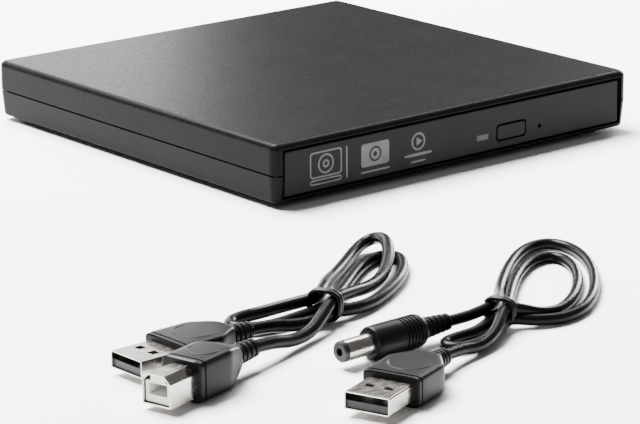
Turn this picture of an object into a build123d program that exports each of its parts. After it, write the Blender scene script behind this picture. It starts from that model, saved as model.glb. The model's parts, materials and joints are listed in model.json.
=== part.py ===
from build123d import *
import math
import os

os.makedirs("parts", exist_ok=True)

# External optical drive: a slim tray-loading disc drive in a two-shell plastic
# housing, with its data cable and power cable lying on the same surface.
# Frame: origin at the centre of the base on the supporting surface, +Z up,
# the bezel faces -Y, +X to the right seen from the front.

# ---------------------------------------------------------------- dimensions
W = 144.0  # housing width
D = 144.0  # housing depth
FOOT = 1.3  # height of the rubber feet
H = 18.2  # height of the two shells together
Z0 = FOOT
Z1 = FOOT + H
SEAM = 10.0  # parting line of the shells
SEAM_GAP = 0.5  # width of the groove between the shells
CORNER = 3.0  # vertical corner radius
TOP_R = 1.8  # rounding of the upper edge
TAPER = 5.4  # draft of the lower shell, degrees
IN_Z0 = 2.7  # inner floor of the lower shell
IN_Z1 = 17.8  # inner roof of the upper shell
YF = -D / 2
YB = D / 2

BEZ_X = 68.1  # half width of the bezel
BEZ_Z0, BEZ_Z1 = 3.25, 16.95
BEZ_YF, BEZ_YB = -71.5, -68.2

PAN_X = 64.0  # half width of the drive's chassis
PAN_Y0, PAN_Y1 = -67.4, 56.4
PAN_Z0 = 3.5
SHEET = 0.6  # chassis sheet thickness
PAN_WALL_Z = 15.6

BTN_X, BTN_Z = 21.75, 8.23  # eject button centre
LED_X, LED_Z = 9.85, 7.88  # light window centre
PIN_X, PIN_Z = 33.8, 7.6  # emergency release hole

SP_X, SP_Y = 0.0, -7.0  # disc spindle axis
DISC_R = 60.0
SLED_ANGLE = 131.0  # direction of the pickup's travel in plan
LENS_R0 = 24.0  # lens distance from the spindle at rest
SLED_TRAVEL = 34.0
ROD_V, ROD_Z, ROD_R = 14.2, 6.8, 1.0
SCREW_V, SCREW_Z = -18.5, 7.2

SOCK_X = -40.0  # USB type B socket centre
JACK_X, JACK_Z = -21.5, 9.0  # 5 V jack centre

su = (math.cos(math.radians(SLED_ANGLE)), math.sin(math.radians(SLED_ANGLE)), 0.0)
sv = (-su[1], su[0], 0.0)


def sled_plane(z):
    """Plan plane at height z with x along the pickup's travel."""
    return Plane(origin=(SP_X, SP_Y, z), x_dir=su, z_dir=(0, 0, 1))


def sled_point(u, v, z):
    return (SP_X + u * su[0] + v * sv[0], SP_Y + u * su[1] + v * sv[1], z)


def sled_axis_plane(u, v, z):
    """Plane across the pickup's travel, its normal along the travel."""
    return Plane(origin=sled_point(u, v, z), x_dir=sv, z_dir=su)


def save(part, name):
    part.label = name
    export_step(part, "parts/" + name + ".step")


# ------------------------------------------------------------------- housing
FOOT_XY = [(-58, -58), (58, -58), (-58, 58), (58, 58)]
BOSS_XY = [(-67.3, -58), (67.3, -58), (-66.6, 63.5), (66.6, 63.5)]
BOARD_SCREW_XY = [(-55.0, 63.6), (56.0, 63.6)]

with BuildPart() as top_cover:
    with BuildSketch(Plane.XY.offset(SEAM + SEAM_GAP / 2)):
        RectangleRounded(W, D, CORNER)
    extrude(amount=Z1 - SEAM - SEAM_GAP / 2)
    fillet(top_cover.faces().sort_by(Axis.Z)[-1].edges(), TOP_R)
    # inner space
    with BuildSketch(Plane.XY.offset(SEAM)):
        Rectangle(140.8, 140.0)
    extrude(amount=IN_Z1 - SEAM, mode=Mode.SUBTRACT)
    # upper half of the bezel opening
    with BuildSketch(Plane.XY.offset(SEAM)):
        with Locations((0, YF + 2.0)):
            Rectangle(138.4, 6.0)
    extrude(amount=17.7 - SEAM, mode=Mode.SUBTRACT)
    # inner lip that overlaps the lower shell behind the seam groove
    with BuildSketch(Plane.XY.offset(SEAM - 1.1)):
        with Locations((-69.95, 1.0), (69.95, 1.0)):
            Rectangle(1.1, 130.0)
        with Locations((0, 69.5)):
            Rectangle(138.8, 1.2)
    extrude(amount=1.1 + 2.0)
    # screw bosses
    with BuildSketch(Plane.XY.offset(SEAM + 0.1)):
        with Locations(BOSS_XY):
            Circle(2.4)
    extrude(amount=IN_Z1 - SEAM - 0.1)
    with BuildSketch(Plane.XY.offset(SEAM)):
        with Locations(BOSS_XY):
            Circle(0.85)
    extrude(amount=5.0, mode=Mode.SUBTRACT)
    # roof ribs over the chassis
    with BuildSketch(Plane.XY.offset(16.5)):
        with Locations((-40, 0), (40, 0)):
            Rectangle(1.2, 100)
    extrude(amount=IN_Z1 - 16.5)
    # upper halves of the rear port openings
    with BuildSketch(Plane(origin=(0, YB + 1, 0), x_dir=(1, 0, 0), z_dir=(0, -1, 0))):
        with Locations((SOCK_X, 10.1)):
            Rectangle(12.6, 11.2)
        with Locations((JACK_X, 9.0)):
            Rectangle(9.6, 8.9)
    extrude(amount=5, mode=Mode.SUBTRACT)
save(top_cover.part, "top_cover")

with BuildPart() as bottom_cover:
    low = 2 * (SEAM - SEAM_GAP / 2 - Z0) * math.tan(math.radians(TAPER))
    with BuildSketch(Plane.XY.offset(Z0)):
        RectangleRounded(W - low, D - low, CORNER - low / 2)
    extrude(amount=SEAM - SEAM_GAP / 2 - Z0, taper=-TAPER)
    fillet(bottom_cover.faces().sort_by(Axis.Z)[0].edges(), 1.2)
    with BuildSketch(Plane.XY.offset(IN_Z0)):
        Rectangle(138.6, 139.6)
    extrude(amount=10, mode=Mode.SUBTRACT)
    # room for the upper shell's lip
    with BuildSketch(Plane.XY.offset(SEAM - 1.3)):
        with Locations((-69.95, 1.0), (69.95, 1.0)):
            Rectangle(1.6, 131.0)
        with Locations((0, 69.5)):
            Rectangle(141.5, 1.6)
    extrude(amount=3, mode=Mode.SUBTRACT)
    # lower half of the bezel opening
    with BuildSketch(Plane.XY.offset(IN_Z0)):
        with Locations((0, YF + 2.0)):
            Rectangle(138.4, 6.0)
    extrude(amount=10, mode=Mode.SUBTRACT)
    # screw bosses
    with BuildSketch(Plane.XY.offset(IN_Z0 - 0.2)):
        with Locations(BOSS_XY):
            Circle(2.4)
    extrude(amount=SEAM - 0.1 - IN_Z0 + 0.2)
    # chassis rests and board rests
    with BuildSketch(Plane.XY.offset(IN_Z0 - 0.2)):
        with Locations((-50, -55), (50, -55), (-50, 48), (50, 48)):
            Circle(4.0)
    extrude(amount=PAN_Z0 - IN_Z0 + 0.2)
    with BuildSketch(Plane.XY.offset(IN_Z0 - 0.2)):
        with Locations(BOARD_SCREW_XY):
            Circle(2.4)
    extrude(amount=3.6 - IN_Z0 + 0.2)
    # screw holes and head recesses
    with BuildSketch(Plane.XY.offset(Z0 - 0.1)):
        with Locations(BOSS_XY):
            Circle(1.2)
    extrude(amount=12, mode=Mode.SUBTRACT)
    with BuildSketch(Plane.XY.offset(Z0 - 0.1)):
        with Locations(BOSS_XY):
            Circle(2.0)
    extrude(amount=1.6, mode=Mode.SUBTRACT)
    with BuildSketch(Plane.XY.offset(1.9)):
        with Locations(BOARD_SCREW_XY):
            Circle(0.65)
    extrude(amount=4, mode=Mode.SUBTRACT)
    # seats of the feet
    with BuildSketch(Plane.XY.offset(Z0 - 0.1)):
        with Locations(FOOT_XY):
            Circle(4.6)
    extrude(amount=0.4, mode=Mode.SUBTRACT)
    # ventilation slots in the base
    with BuildSketch(Plane.XY.offset(Z0 - 0.1)):
        with GridLocations(6.0, 0, 7, 1):
            SlotOverall(18, 1.6, rotation=90)
    extrude(amount=3, mode=Mode.SUBTRACT)
    # lower halves of the rear port openings
    with BuildSketch(Plane(origin=(0, YB + 1, 0), x_dir=(1, 0, 0), z_dir=(0, -1, 0))):
        with Locations((SOCK_X, 10.1)):
            Rectangle(12.6, 11.2)
        with Locations((JACK_X, 9.0)):
            Rectangle(9.6, 8.9)
    extrude(amount=5, mode=Mode.SUBTRACT)
save(bottom_cover.part, "bottom_cover")

with BuildPart() as housing_screws:
    with BuildSketch(Plane.XY.offset(1.6)):
        with Locations(BOSS_XY):
            Circle(1.8)
    extrude(amount=1.2)
    with BuildSketch(Plane.XY.offset(2.8)):
        with Locations(BOSS_XY):
            Circle(1.0)
    extrude(amount=10.0)
    # cross recess
    with BuildSketch(Plane.XY.offset(1.5)):
        with Locations(BOSS_XY):
            Rectangle(2.2, 0.5)
            Rectangle(0.5, 2.2)
    extrude(amount=0.8, mode=Mode.SUBTRACT)
save(housing_screws.part, "housing_screws")

with BuildPart() as rubber_feet:
    with BuildSketch(Plane.XY):
        with Locations(FOOT_XY):
            Circle(4.5)
    extrude(amount=FOOT + 0.3)
    chamfer(rubber_feet.faces().sort_by(Axis.Z)[:4].edges(), 0.3)
save(rubber_feet.part, "rubber_feet")

# ------------------------------------------------------- rear adapter board
with BuildPart() as adapter_board:
    with BuildSketch(Plane.XY.offset(3.6)):
        with Locations((0, 63.6)):
            Rectangle(122.0, 12.0)
        with Locations(BOARD_SCREW_XY):
            Circle(0.95, mode=Mode.SUBTRACT)
    extrude(amount=1.2)
save(adapter_board.part, "adapter_board")

with BuildPart() as chips:
    with BuildSketch(Plane.XY.offset(4.8)):
        with Locations((5, 63.6)):
            Rectangle(10, 10)
        with Locations((-8, 63.6)):
            Rectangle(5, 4)
    extrude(amount=1.2)
    with BuildSketch(Plane.XY.offset(4.8)):
        with Locations((17, 62)):
            SlotOverall(10.5, 4.2)
    extrude(amount=3.2)
    with BuildSketch(Plane.XY.offset(4.8)):
        with Locations((26, 66), (-3, 66.5), (-3, 60.5)):
            Rectangle(2.0, 1.2)
    extrude(amount=0.8)
    with BuildSketch(Plane.XY.offset(4.9)):
        with Locations((38, 36)):
            Rectangle(13, 13)
        with Locations((20, 40)):
            Rectangle(7, 7)
        with Locations((20, 28)):
            Rectangle(5, 6)
    extrude(amount=1.1)
save(chips.part, "chips")

with BuildPart() as usb_socket_shell:
    with BuildSketch(Plane.XY.offset(4.8)):
        with Locations((SOCK_X, 64.65)):
            Rectangle(12.0, 14.5)
    extrude(amount=10.6)
    # plug cavity, chamfered like the plug
    with BuildSketch(Plane(origin=(SOCK_X, 71.9, 10.1), x_dir=(-1, 0, 0), z_dir=(0, 1, 0))):
        with BuildLine():
            Polyline(
                (-4.5, -4.15), (4.5, -4.15), (4.5, 2.2), (2.6, 4.15), (-2.6, 4.15), (-4.5, 2.2),
                close=True,
            )
        make_face()
    extrude(amount=-11.0, mode=Mode.SUBTRACT)
save(usb_socket_shell.part, "usb_socket_shell")

with BuildPart() as usb_socket_tongue:
    with BuildSketch(Plane(origin=(SOCK_X, 60.9, 10.1), x_dir=(-1, 0, 0), z_dir=(0, 1, 0))):
        Rectangle(8.6, 4.2)
    extrude(amount=1.6)
    with BuildSketch(Plane(origin=(SOCK_X, 62.5, 10.1), x_dir=(-1, 0, 0), z_dir=(0, 1, 0))):
        Rectangle(5.6, 3.1)
    extrude(amount=8.2)
save(usb_socket_tongue.part, "usb_socket_tongue")

with BuildPart() as dc_jack:
    with BuildSketch(Plane.XY.offset(4.8)):
        with Locations((JACK_X, 65.4)):
            Rectangle(9.0, 13.0)
    extrude(amount=8.4)
    with BuildSketch(Plane(origin=(JACK_X, 71.9, JACK_Z), x_dir=(-1, 0, 0), z_dir=(0, 1, 0))):
        Circle(3.1)
    extrude(amount=-9.6, mode=Mode.SUBTRACT)
save(dc_jack.part, "dc_jack")

with BuildPart() as dc_jack_pin:
    with BuildSketch(Plane(origin=(JACK_X, 62.3, JACK_Z), x_dir=(-1, 0, 0), z_dir=(0, 1, 0))):
        Circle(0.95)
    extrude(amount=8.4)
    chamfer(dc_jack_pin.faces().sort_by(Axis.Y)[-1].edges(), 0.4)
save(dc_jack_pin.part, "dc_jack_pin")

with BuildPart() as slimline_connector:
    # socket on the drive's board
    with BuildSketch(Plane.XY.offset(4.9)):
        with Locations((41, 55.0)):
            Rectangle(22, 4.6)
    extrude(amount=3.8)
    # mating half on the adapter board
    with BuildSketch(Plane.XY.offset(4.8)):
        with Locations((41, 60.0)):
            Rectangle(22, 4.4)
    extrude(amount=4.0)
save(slimline_connector.part, "slimline_connector")

# ------------------------------------------------------------ drive chassis
with BuildPart() as drive_pan:
    with BuildSketch(Plane.XY.offset(PAN_Z0)):
        with Locations((0, (PAN_Y0 + PAN_Y1) / 2)):
            Rectangle(2 * PAN_X, PAN_Y1 - PAN_Y0)
    extrude(amount=SHEET)
    with BuildSketch(Plane.XY.offset(PAN_Z0)):
        with Locations((-PAN_X + SHEET / 2, -5.5), (PAN_X - SHEET / 2, -5.5)):
            Rectangle(SHEET, PAN_Y1 - PAN_Y0)
        with Locations((0, PAN_Y1 - SHEET / 2)):
            Rectangle(2 * PAN_X, SHEET)
    extrude(amount=PAN_WALL_Z - PAN_Z0)
    # opening for the connector in the rear wall
    with BuildSketch(Plane.XY.offset(PAN_Z0 + SHEET)):
        with Locations((41, PAN_Y1)):
            Rectangle(24, 3)
    extrude(amount=5.4, mode=Mode.SUBTRACT)
    # latch post
    with BuildSketch(Plane.XY.offset(PAN_Z0)):
        with Locations((47.0, -50.0)):
            Circle(0.9)
    extrude(amount=3.5)
    # side holes for the lid screws
    with BuildSketch(Plane(origin=(PAN_X + 1, 0, 0), x_dir=(0, 1, 0), z_dir=(1, 0, 0))):
        with Locations((-50, 13.4), (45, 13.4)):
            Circle(0.7)
    extrude(amount=-2 * PAN_X - 2, mode=Mode.SUBTRACT)
save(drive_pan.part, "drive_pan")

with BuildPart() as drive_lid:
    with BuildSketch(Plane.XY.offset(15.7)):
        with Locations((0, -5.2)):
            Rectangle(129.4, 124.4)
    extrude(amount=SHEET)
    with BuildSketch(Plane.XY.offset(11.4)):
        with Locations((-64.4, -5.2), (64.4, -5.2)):
            Rectangle(0.6, 124.4)
    extrude(amount=4.4)
    # pressed ring over the disc
    with BuildSketch(Plane.XY.offset(16.2)):
        with Locations((SP_X, SP_Y)):
            Circle(46)
            Circle(44, mode=Mode.SUBTRACT)
    extrude(amount=0.3)
    with BuildSketch(Plane(origin=(66, 0, 0), x_dir=(0, 1, 0), z_dir=(1, 0, 0))):
        with Locations((-50, 13.4), (45, 13.4)):
            Circle(0.95)
    extrude(amount=-132, mode=Mode.SUBTRACT)
save(drive_lid.part, "drive_lid")

with BuildPart() as small_screws:
    # lid screws in the chassis sides
    for side in (-1, 1):
        with BuildSketch(Plane(origin=(side * 64.7, 0, 0), x_dir=(0, 1, 0), z_dir=(side, 0, 0))):
            with Locations((-50, side * 13.4), (45, side * 13.4)):
                Circle(1.5)
        extrude(amount=0.6)
        with BuildSketch(Plane(origin=(side * 64.7, 0, 0), x_dir=(0, 1, 0), z_dir=(side, 0, 0))):
            with Locations((-50, side * 13.4), (45, side * 13.4)):
                Circle(0.85)
        extrude(amount=-1.6)
    # adapter board screws
    with BuildSketch(Plane.XY.offset(4.8)):
        with Locations(BOARD_SCREW_XY):
            Circle(1.7)
    extrude(amount=0.8)
    with BuildSketch(Plane.XY.offset(2.0)):
        with Locations(BOARD_SCREW_XY):
            Circle(0.8)
    extrude(amount=2.9)
save(small_screws.part, "small_screws")

RAIL_Y0, RAIL_Y1 = -67.0, 55.0
with BuildPart() as rail_guides:
    for side in (-1, 1):
        with BuildSketch(Plane.XZ.offset(66.0)):
            with Locations((side * 62.85, 6.8)):
                Rectangle(0.9, 4.2)
            with Locations((side * 61.4, 4.95), (side * 61.4, 8.65)):
                Rectangle(2.2, 0.5)
        extrude(amount=-120.0)
save(rail_guides.part, "rail_guides")

with BuildPart() as rail_left:
    with BuildSketch(Plane.XZ.offset(-RAIL_Y0)):
        with Locations((-61.8, 6.8)):
            Rectangle(0.8, 2.8)
        with Locations((-60.75, 5.65), (-60.75, 7.95)):
            Rectangle(1.5, 0.5)
    extrude(amount=-(RAIL_Y1 - RAIL_Y0))
save(rail_left.part, "rail_left")

with BuildPart() as rail_right:
    with BuildSketch(Plane.XZ.offset(-RAIL_Y0)):
        with Locations((61.8, 6.8)):
            Rectangle(0.8, 2.8)
        with Locations((60.75, 5.65), (60.75, 7.95)):
            Rectangle(1.5, 0.5)
    extrude(amount=-(RAIL_Y1 - RAIL_Y0))
save(rail_right.part, "rail_right")

with BuildPart() as main_board:
    with BuildSketch(Plane.XY.offset(PAN_Z0 + SHEET)):
        with BuildLine():
            Polyline((13, 20), (57, 20), (57, 55.2), (-8, 55.2), (-8, 48), close=True)
        make_face()
    extrude(amount=0.8)
save(main_board.part, "main_board")

# flat flex between the main board and the tray, folded back on itself
with BuildPart() as flat_flex_cable:
    with BuildSketch(Plane.YZ.offset(36.0)):
        with Locations((-8.1, 4.22)):
            Rectangle(56.0, 0.16)
        with Locations((-18.1, 9.58)):
            Rectangle(36.0, 0.16)
        with BuildLine():
            c1 = CenterArc((-36.1, 6.9), 2.76, 90, 180)
            l1 = Line(c1 @ 1, (-36.1, 4.30))
            c2 = CenterArc((-36.1, 6.9), 2.60, 270, -180)
            l2 = Line(c2 @ 1, c1 @ 0)
        make_face()
    extrude(amount=9.0)
save(flat_flex_cable.part, "flat_flex_cable")

# --------------------------------------------------------------------- tray
TR_UV = [(-22, -22), (50, -22), (62, -20.2), (66.5, -15.5), (66.5, 15.5), (50, 22), (-22, 22)]
TR_OUT = [(-23.6, -23.6), (50.4, -23.6), (62.6, -21.4), (67.8, -16.2), (67.8, 16.2), (50.6, 23.6), (-23.6, 23.6)]
TR_IN = [(-23.0, -23.0), (50.3, -23.0), (62.3, -20.9), (67.2, -15.9), (67.2, 15.9), (50.4, 23.0), (-23.0, 23.0)]
TR_SCREWS = [(-18, 19), (-18, -19.5), (46, 19.2), (-2, 19.2)]

with BuildPart() as disc_tray:
    with BuildSketch(Plane.XY.offset(9.9)):
        with Locations((0, -6.8)):
            RectangleRounded(124.4, 122.8, 2.0)
    extrude(amount=2.5)
    # 12 cm and 8 cm disc recesses
    with BuildSketch(Plane.XY.offset(11.0)):
        with Locations((SP_X, SP_Y)):
            Circle(60.6)
    extrude(amount=3, mode=Mode.SUBTRACT)
    with BuildSketch(Plane.XY.offset(10.7)):
        with Locations((SP_X, SP_Y)):
            Circle(40.4)
    extrude(amount=3, mode=Mode.SUBTRACT)
    # spindle hole and pickup slot
    with BuildSketch(Plane.XY.offset(9)):
        with Locations((SP_X, SP_Y)):
            Circle(15.2)
    extrude(amount=5, mode=Mode.SUBTRACT)
    with BuildSketch(sled_plane(9)):
        with Locations((39.0, 0)):
            Rectangle(52.0, 21.2)
    extrude(amount=5, mode=Mode.SUBTRACT)
    # side skirts and runners
    with BuildSketch(Plane.XZ.offset(66.0)):
        for side in (-1, 1):
            with Locations((side * 58.5, 8.05)):
                Rectangle(1.4, 3.7)
            with Locations((side * 60.2, 6.8)):
                Rectangle(2.0, 1.2)
    extrude(amount=-120.0)
    # front beam behind the bezel
    with BuildSketch(Plane.XY.offset(4.7)):
        with Locations((0, -67.55)):
            Rectangle(118.4, 1.3)
    extrude(amount=5.3)
    with BuildSketch(Plane.XZ.offset(66.0)):
        with Locations((BTN_X, BTN_Z)):
            Rectangle(3.4, 3.0)
        with Locations((PIN_X, PIN_Z)):
            Circle(1.1)
        with Locations((LED_X, LED_Z)):
            Rectangle(4.0, 1.4)
    extrude(amount=4.0, mode=Mode.SUBTRACT)
    # latch pivot pin
    with BuildSketch(Plane.XY.offset(5.3)):
        with Locations((51.0, -58.0)):
            Circle(1.0)
    extrude(amount=4.8)
    # pilot holes for the traverse screws
    with BuildSketch(sled_plane(9.5)):
        with Locations(TR_SCREWS):
            Circle(0.7)
    extrude(amount=0.95, mode=Mode.SUBTRACT)
save(disc_tray.part, "disc_tray")

with BuildPart() as front_bezel:
    with BuildSketch(Plane.XZ.offset(-BEZ_YB)):
        with Locations((0, (BEZ_Z0 + BEZ_Z1) / 2)):
            RectangleRounded(2 * BEZ_X, BEZ_Z1 - BEZ_Z0, 0.8)
    extrude(amount=BEZ_YB - BEZ_YF)
    fillet(front_bezel.faces().sort_by(Axis.Y)[0].edges(), 0.45)
    with BuildSketch(Plane.XZ.offset(-BEZ_YB - 1)):
        with Locations((BTN_X, BTN_Z)):
            RectangleRounded(12.7, 5.6, 1.4)
        with Locations((LED_X, LED_Z)):
            RectangleRounded(5.0, 1.85, 0.3)
        with Locations((PIN_X, PIN_Z)):
            Circle(0.75)
    extrude(amount=6, mode=Mode.SUBTRACT)
    # pocket behind the button for its flange
    with BuildSketch(Plane.XZ.offset(-BEZ_YB - 1)):
        with Locations((BTN_X, BTN_Z)):
            Rectangle(15.0, 7.7)
    extrude(amount=1 + 1.7, mode=Mode.SUBTRACT)
save(front_bezel.part, "front_bezel")

with BuildPart() as led_window:
    with BuildSketch(Plane.XZ.offset(-BEZ_YB)):
        with Locations((LED_X, LED_Z)):
            RectangleRounded(4.9, 1.75, 0.25)
    extrude(amount=3.2)
save(led_window.part, "led_window")

with BuildPart() as tray_bottom_cover:
    with BuildSketch(sled_plane(4.5)):
        with BuildLine():
            Polyline(*TR_OUT, close=True)
        make_face()
    extrude(amount=0.3)
    with BuildSketch(sled_plane(4.5)):
        with BuildLine():
            Polyline(*TR_OUT, close=True)
        make_face()
        with BuildLine():
            Polyline(*TR_IN, close=True)
        make_face(mode=Mode.SUBTRACT)
    extrude(amount=5.4)
save(tray_bottom_cover.part, "tray_bottom_cover")

with BuildPart() as traverse_frame:
    with BuildSketch(sled_plane(8.2)):
        with BuildLine():
            Polyline(*TR_UV, close=True)
        make_face()
        Circle(12.3, mode=Mode.SUBTRACT)
        with Locations((39.4, 0)):
            Rectangle(51.0, 21.4, mode=Mode.SUBTRACT)
        # room for the lead screw and its motor
        with Locations((24.6, SCREW_V)):
            Rectangle(69.6, 3.6, mode=Mode.SUBTRACT)
        with Locations((-1.2, SCREW_V + 0.2)):
            Rectangle(18.0, 6.0, mode=Mode.SUBTRACT)
        with Locations(TR_SCREWS):
            Circle(1.0, mode=Mode.SUBTRACT)
    extrude(amount=0.7)
    # rod holders and screw bearing
    with BuildSketch(sled_plane(5.9)):
        with Locations((10.6, ROD_V), (10.6, -ROD_V), (65.7, ROD_V), (65.7, -ROD_V)):
            Rectangle(1.6, 2.6)
        with Locations((61.0, SCREW_V)):
            Rectangle(2.4, 3.0)
    extrude(amount=2.5)
    with BuildSketch(sled_axis_plane(9.6, 0, 0)):
        with Locations((ROD_V, ROD_Z), (-ROD_V, ROD_Z)):
            Circle(ROD_R)
    extrude(amount=56.6, mode=Mode.SUBTRACT)
    with BuildSketch(sled_axis_plane(59.0, 0, 0)):
        with Locations((SCREW_V, SCREW_Z)):
            Circle(0.64)
    extrude(amount=2.8, mode=Mode.SUBTRACT)
save(traverse_frame.part, "traverse_frame")

with BuildPart() as dampers:
    with BuildSketch(sled_plane(8.9)):
        with Locations(TR_SCREWS):
            Circle(2.3)
            Circle(1.0, mode=Mode.SUBTRACT)
    extrude(amount=1.0)
save(dampers.part, "dampers")

with BuildPart() as traverse_screws:
    with BuildSketch(sled_plane(7.4)):
        with Locations(TR_SCREWS):
            Circle(1.7)
    extrude(amount=0.8)
    with BuildSketch(sled_plane(8.2)):
        with Locations(TR_SCREWS):
            Circle(0.85)
    extrude(amount=2.2)
save(traverse_screws.part, "traverse_screws")

with BuildPart() as spindle_motor_base:
    with BuildSketch(sled_plane(5.0)):
        Circle(12.0)
        with Locations((-8.0, 2.5)):
            Rectangle(16.0, 31.0)
    extrude(amount=0.8)
    with BuildSketch(sled_plane(5.8)):
        with Locations((-14.2, 16.0), (-14.2, -11.0), (-2.0, 16.0)):
            Circle(1.5)
    extrude(amount=2.4)
    # bearing bush
    with BuildSketch(sled_plane(5.8)):
        Circle(2.2)
    extrude(amount=2.8)
    # stator core with nine wound teeth
    with BuildSketch(sled_plane(5.8)):
        Circle(4.6)
        with PolarLocations(6.6, 9):
            Rectangle(5.0, 1.6)
        Circle(2.0, mode=Mode.SUBTRACT)
    extrude(amount=2.2)
    with BuildSketch(sled_plane(5.2)):
        Circle(0.80)
    extrude(amount=5, mode=Mode.SUBTRACT)
save(spindle_motor_base.part, "spindle_motor_base")

with BuildPart() as guide_rods:
    with BuildSketch(sled_axis_plane(9.8, 0, 0)):
        with Locations((ROD_V, ROD_Z), (-ROD_V, ROD_Z)):
            Circle(ROD_R)
    extrude(amount=56.2)
save(guide_rods.part, "guide_rods")

with BuildPart() as sled_motor:
    with BuildSketch(sled_axis_plane(-9.5, 0, 0)):
        with Locations((SCREW_V, SCREW_Z)):
            Circle(2.3)
    extrude(amount=16.5)
    with BuildSketch(sled_axis_plane(2.0, 0, 0)):
        with Locations((SCREW_V, SCREW_Z)):
            Circle(0.64)
    extrude(amount=6, mode=Mode.SUBTRACT)
save(sled_motor.part, "sled_motor")

with BuildPart() as switch_board:
    with BuildSketch(Plane.XY.offset(4.9)):
        with Locations((21.0, -61.8)):
            Rectangle(36.0, 8.6)
    extrude(amount=0.8)
    # push switch behind the button, indicator lamp behind the window
    with BuildSketch(Plane.XY.offset(5.7)):
        with Locations((BTN_X, -63.6)):
            Rectangle(6.0, 4.6)
        with Locations((LED_X, -64.4)):
            Rectangle(2.4, 2.6)
    extrude(amount=3.6)
    with BuildSketch(Plane(origin=(BTN_X, -65.9, BTN_Z), x_dir=(1, 0, 0), z_dir=(0, -1, 0))):
        Circle(0.9)
    extrude(amount=0.55)
save(switch_board.part, "switch_board")

with BuildPart() as eject_solenoid:
    with BuildSketch(Plane.XY.offset(5.0)):
        with Locations((36.0, -50.5)):
            Rectangle(11.0, 8.0)
    extrude(amount=4.9)
    with BuildSketch(Plane(origin=(41.5, -50.5, 7.4), x_dir=(0, 1, 0), z_dir=(1, 0, 0))):
        Circle(1.1)
    extrude(amount=2.4)
save(eject_solenoid.part, "eject_solenoid")

# ------------------------------------------------------------------ spindle
with BuildPart() as turntable:
    # rotor cup
    with BuildSketch(sled_plane(6.3)):
        Circle(11.6)
        Circle(10.8, mode=Mode.SUBTRACT)
    extrude(amount=4.2)
    with BuildSketch(sled_plane(9.6)):
        Circle(11.6)
    extrude(amount=0.9)
    # disc table and hub
    with BuildSketch(sled_plane(10.5)):
        Circle(14.4)
    extrude(amount=0.8)
    with BuildSketch(sled_plane(11.3)):
        Circle(7.45)
    extrude(amount=2.5)
    chamfer(turntable.faces().sort_by(Axis.Z)[-1].edges(), 0.7)
    with BuildSketch(sled_plane(13.2)):
        Circle(3.2)
    extrude(amount=1.0, mode=Mode.SUBTRACT)
    # shaft
    with BuildSketch(sled_plane(5.4)):
        Circle(0.75)
    extrude(amount=4.4)
    with Locations(*[(SP_X + 6.75 * math.cos(math.radians(a)), SP_Y + 6.75 * math.sin(math.radians(a)), 12.85) for a in (90, 210, 330)]):
        Sphere(1.05, mode=Mode.SUBTRACT)
save(turntable.part, "turntable")

with BuildPart() as turntable_ring:
    with BuildSketch(sled_plane(11.3)):
        Circle(14.2)
        Circle(10.6, mode=Mode.SUBTRACT)
    extrude(amount=0.3)
save(turntable_ring.part, "turntable_ring")

with BuildPart() as clamp_balls:
    with Locations(*[(SP_X + 6.75 * math.cos(math.radians(a)), SP_Y + 6.75 * math.sin(math.radians(a)), 12.85) for a in (90, 210, 330)]):
        Sphere(1.0)
save(clamp_balls.part, "clamp_balls")

# ------------------------------------------------------------- pickup sled
L0 = LENS_R0
with BuildPart() as pickup_body:
    with BuildSketch(sled_plane(5.2)):
        with Locations((L0 - 1.3, 0)):
            Rectangle(15.4, 24.0)
        Circle(13.4, mode=Mode.SUBTRACT)
    extrude(amount=2.7)
    with BuildSketch(sled_plane(5.6)):
        with Locations((L0 - 1.0, 13.8), (L0 - 1.0, -13.8)):
            Rectangle(12.0, 3.6)
    extrude(amount=2.4)
    # raised part through the slot
    with BuildSketch(sled_plane(7.9)):
        with Locations((L0, 0)):
            Rectangle(12.0, 18.0)
    extrude(amount=1.2)
    # well of the lens actuator
    with BuildSketch(sled_plane(7.4)):
        with Locations((L0, 0)):
            Rectangle(9.4, 11.4)
    extrude(amount=3, mode=Mode.SUBTRACT)
    # follower that engages the lead screw
    with BuildSketch(sled_plane(6.6)):
        with Locations((L0 - 1.0, -16.3)):
            Rectangle(4.0, 1.6)
    extrude(amount=1.2)
    with BuildSketch(sled_axis_plane(L0 - 12, 0, 0)):
        with Locations((ROD_V, ROD_Z), (-ROD_V, ROD_Z)):
            Circle(ROD_R + 0.05)
    extrude(amount=24, mode=Mode.SUBTRACT)
save(pickup_body.part, "pickup_body")

with BuildPart() as lens_holder:
    with BuildSketch(sled_plane(8.1)):
        with Locations((L0, 0)):
            Rectangle(7.6, 9.6)
            Circle(1.9, mode=Mode.SUBTRACT)
    extrude(amount=1.5)
save(lens_holder.part, "lens_holder")

with BuildPart() as objective_lens:
    with BuildSketch(sled_plane(8.7)):
        with Locations((L0, 0)):
            Circle(1.88)
    extrude(amount=1.1)
    fillet(objective_lens.faces().sort_by(Axis.Z)[-1].edges(), 0.5)
save(objective_lens.part, "objective_lens")

with BuildPart() as lead_screw:
    with BuildSketch(sled_axis_plane(7.6, 0, 0)):
        with Locations((SCREW_V, SCREW_Z)):
            Circle(1.3)
    extrude(amount=51.4)
    with BuildSketch(sled_axis_plane(3.0, 0, 0)):
        with Locations((SCREW_V, SCREW_Z)):
            Circle(0.6)
    extrude(amount=58.4)
save(lead_screw.part, "lead_screw")

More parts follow.
